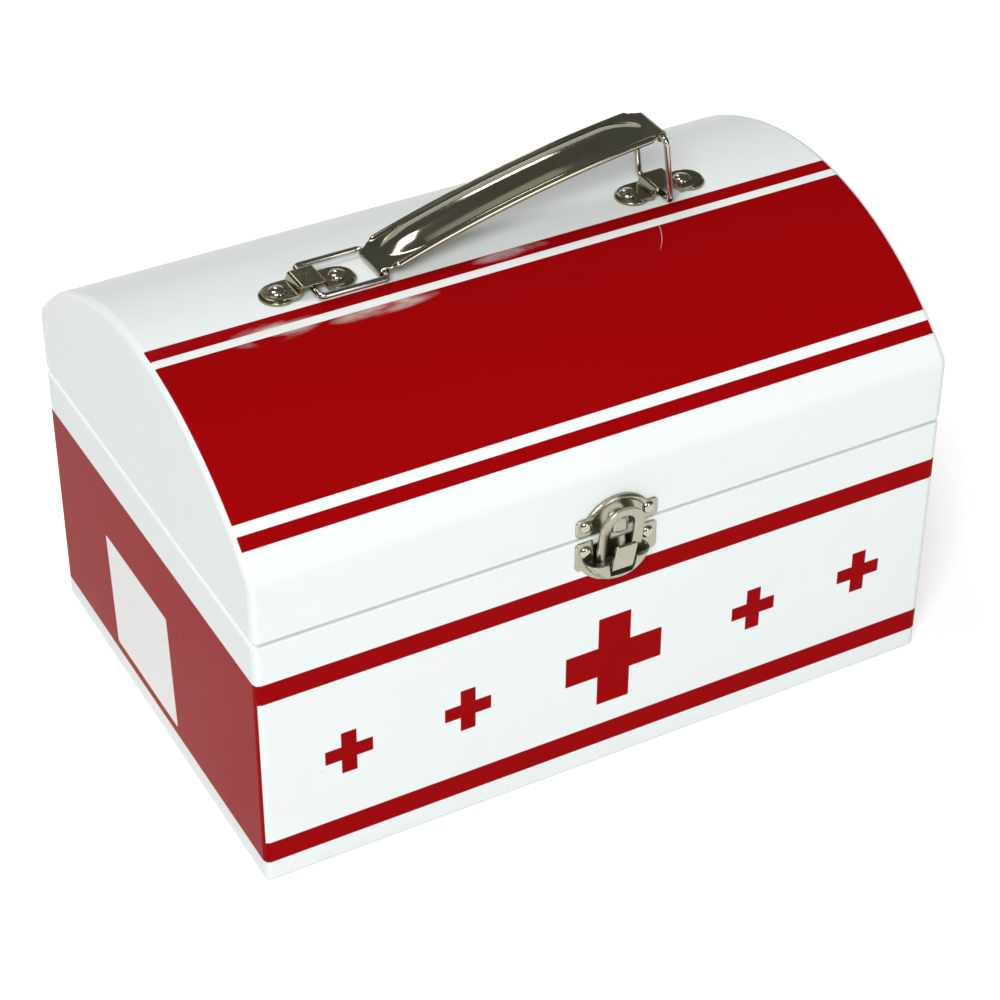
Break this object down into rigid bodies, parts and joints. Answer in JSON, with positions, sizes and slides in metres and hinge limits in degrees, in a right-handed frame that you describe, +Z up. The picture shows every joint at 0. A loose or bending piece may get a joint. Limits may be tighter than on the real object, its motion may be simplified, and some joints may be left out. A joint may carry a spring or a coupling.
{
  "type": "toy doctor case",
  "caption": "Rigid paper-covered board case with a vaulted hinged lid, a bowed sheet-metal carry handle on swinging rings and a duck-bill clasp on the front.",
  "frame": {"origin": "centre of the underside of the case", "axes": "+X along the case's length to its right as seen from the clasp side, +Y from the clasp side to the hinge side, +Z up"},
  "size_m": [0.24, 0.1696, 0.1804],
  "materials": {
    "printed_wrap": "gloss varnish",
    "lining_paper": "matte",
    "greyboard": "matte",
    "foot_card": "matte",
    "hinge_cloth": "bookcloth",
    "nickel": "nickel plate",
    "handle_wire": "nickel plate",
    "handle_sheet": "bright nickel plate",
    "pin_steel": "drawn wire"
  },
  "bodies": {
    "base": {"foot_card": "foot_card", "base_bottom_board": "greyboard", "base_front_board": "greyboard", "base_back_board": "greyboard", "base_left_board": "greyboard", "base_right_board": "greyboard", "base_wrap": "printed_wrap", "base_lining": "lining_paper", "hinge_strip": "hinge_cloth", "latch_plate": "nickel", "latch_plate_nails": "nickel", "latch_pin": "pin_steel"},
    "lid": {"lid_front_board": "greyboard", "lid_back_board": "greyboard", "lid_left_end_board": "greyboard", "lid_right_end_board": "greyboard", "lid_vault_board": "greyboard", "lid_wrap": "printed_wrap", "lid_lining": "lining_paper", "handle_brackets": "nickel", "handle_rivets": "nickel", "latch_catch": "nickel", "latch_catch_nails": "nickel"},
    "loop": {"latch_loop": "nickel"},
    "ring_left": {"handle_ring_left": "handle_wire"},
    "grip": {"handle_grip": "handle_sheet"},
    "ring_right": {"handle_ring_right": "handle_wire"}
  },
  "joints": [
    {"name": "lid_hinge", "type": "hinge", "parent": "base", "child": "lid", "pos_m": [0, 0.0814, 0.0932], "axis": [-1, 0, 0], "range_deg": [0, 170], "deforming": ["hinge_strip"]},
    {"name": "loop_hinge", "type": "hinge", "parent": "base", "child": "loop", "pos_m": [0, -0.0834, 0.082], "axis": [1, 0, 0], "range_deg": [-9, 22]},
    {"name": "ring_left_hinge", "type": "hinge", "parent": "lid", "child": "ring_left", "pos_m": [-0.0618, 0, 0.15418], "axis": [0, -1, 0], "range_deg": [0, 58]},
    {"name": "grip_hinge", "type": "hinge", "parent": "ring_left", "child": "grip", "pos_m": [-0.0393, 0, 0.15418], "axis": [0, -1, 0], "range_deg": [-71, 0]},
    {"name": "ring_right_hinge", "type": "hinge", "parent": "grip", "child": "ring_right", "pos_m": [0.0575, 0, 0.17549], "axis": [0, -1, 0], "range_deg": [0, 35]}
  ],
  "couplings": [
    {"joint": "grip_hinge", "follows": "ring_left_hinge", "ratio": -1.218},
    {"joint": "ring_right_hinge", "follows": "ring_left_hinge", "ratio": 0.6009}
  ]
}
